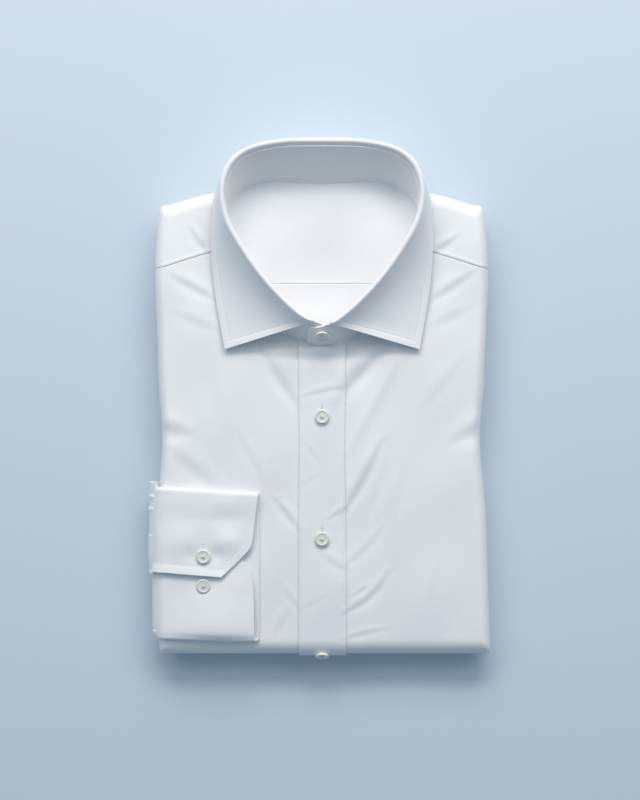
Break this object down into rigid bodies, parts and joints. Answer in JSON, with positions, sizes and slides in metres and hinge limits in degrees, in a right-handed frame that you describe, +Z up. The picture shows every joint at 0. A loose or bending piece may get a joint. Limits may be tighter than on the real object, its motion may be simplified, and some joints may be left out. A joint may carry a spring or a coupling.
{
  "type": "folded dress shirt",
  "caption": "Long-sleeved dress shirt, buttoned and folded flat, with a standing turn-down collar and one buttoned cuff turned over the front.",
  "frame": {"origin": "middle of the shirt's box, on the surface it lies on", "axes": "+X across the chest towards the wearer's left, +Y from the bottom fold to the collar, +Z up from the surface"},
  "size_m": [0.2612, 0.3948, 0.0558],
  "materials": {
    "shirt_poplin": "fine white cotton poplin, plainly woven, pressed, with a faint sheen",
    "pearl_button": "polished off-white pearl-effect polyester"
  },
  "bodies": {
    "root": {"folded_layers": "shirt_poplin", "yoke_lining": "shirt_poplin", "back": "shirt_poplin", "front_left": "shirt_poplin", "front_right": "shirt_poplin", "yoke": "shirt_poplin", "placket": "shirt_poplin", "collar_stand": "shirt_poplin", "collar_fall": "shirt_poplin", "cuff": "shirt_poplin", "sleeve": "shirt_poplin", "button_collar": "pearl_button", "button_front_1": "pearl_button", "button_front_2": "pearl_button", "button_bottom_fold": "pearl_button", "button_cuff_1": "pearl_button", "button_cuff_2": "pearl_button"}
  },
  "joints": []
}
